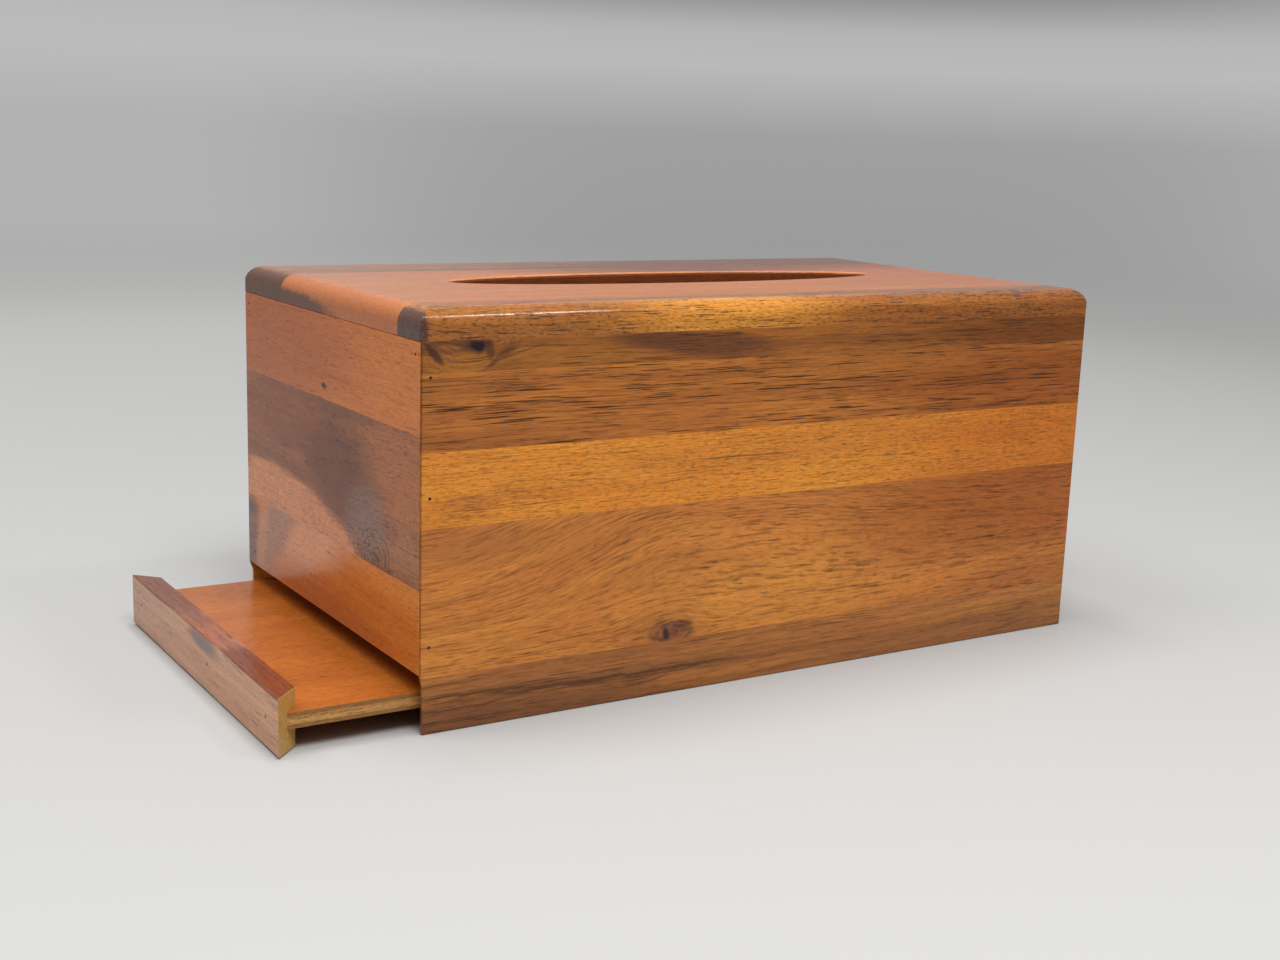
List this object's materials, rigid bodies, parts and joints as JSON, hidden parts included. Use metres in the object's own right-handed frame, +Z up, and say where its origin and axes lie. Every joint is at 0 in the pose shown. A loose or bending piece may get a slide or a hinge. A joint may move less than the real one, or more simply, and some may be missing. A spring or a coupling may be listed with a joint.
{
  "type": "tissue box cover with slide-out tray",
  "caption": "Wooden tissue box cover with an oval dispensing slot in its rounded lid and a thin bottom tray that slides out at one end like a drawer.",
  "frame": {"origin": "on the floor, under the middle of the whole object's box with the drawer as pictured, 43.7 mm open", "axes": "+Z up, +X along the box away from the drawer, +Y across the box from the front wall to the rear wall"},
  "size_m": [0.3142, 0.152, 0.1295],
  "materials": {
    "front_board_1": "satin clear lacquer over open-pored wood",
    "front_board_2": "satin clear lacquer over open-pored wood",
    "front_board_3": "satin clear lacquer over open-pored wood",
    "front_board_4": "satin clear lacquer over open-pored wood",
    "front_board_5": "satin clear lacquer over open-pored wood",
    "end_board_1": "satin clear lacquer over open-pored wood",
    "end_board_2": "satin clear lacquer over open-pored wood",
    "end_board_3": "satin clear lacquer over open-pored wood",
    "lid_board_front": "satin clear lacquer over open-pored wood",
    "lid_board_middle": "satin clear lacquer over open-pored wood",
    "lid_board_rear": "satin clear lacquer over open-pored wood",
    "rear_board_1": "satin clear lacquer over open-pored wood",
    "rear_board_2": "satin clear lacquer over open-pored wood",
    "rear_board_3": "satin clear lacquer over open-pored wood",
    "rear_board_4": "satin clear lacquer over open-pored wood",
    "rear_board_5": "satin clear lacquer over open-pored wood",
    "right_board_1": "satin clear lacquer over open-pored wood",
    "right_board_2": "satin clear lacquer over open-pored wood",
    "right_board_3": "satin clear lacquer over open-pored wood",
    "right_board_4": "satin clear lacquer over open-pored wood",
    "drawer_front_wood": "satin clear lacquer over open-pored wood",
    "tray_face_veneer": "satin clear lacquer over open-pored wood",
    "tray_core_veneer": "raw veneer edge under thin lacquer",
    "brad_steel": "dull, dark from lacquer"
  },
  "bodies": {
    "case": {"front_stave_1": "front_board_1", "front_stave_2": "front_board_2", "front_stave_3": "front_board_3", "front_stave_4": "front_board_4", "front_stave_5": "front_board_5", "left_end_stave_1": "end_board_1", "left_end_stave_2": "end_board_2", "left_end_stave_3": "end_board_3", "lid_front_stave": "lid_board_front", "lid_middle_stave": "lid_board_middle", "lid_rear_stave": "lid_board_rear", "rear_stave_1": "rear_board_1", "rear_stave_2": "rear_board_2", "rear_stave_3": "rear_board_3", "rear_stave_4": "rear_board_4", "rear_stave_5": "rear_board_5", "right_end_stave_1": "right_board_1", "right_end_stave_2": "right_board_2", "right_end_stave_3": "right_board_3", "right_end_stave_4": "right_board_4", "corner_brads": "brad_steel"},
    "drawer": {"drawer_front": "drawer_front_wood", "tray_top_ply": "tray_face_veneer", "tray_core_ply": "tray_core_veneer", "tray_bottom_ply": "tray_face_veneer", "drawer_brads": "brad_steel"}
  },
  "joints": [
    {"name": "drawer_slide", "type": "slide", "parent": "case", "child": "drawer", "axis": [-1, 0, 0], "range_m": [-0.0437, 0.21]}
  ]
}
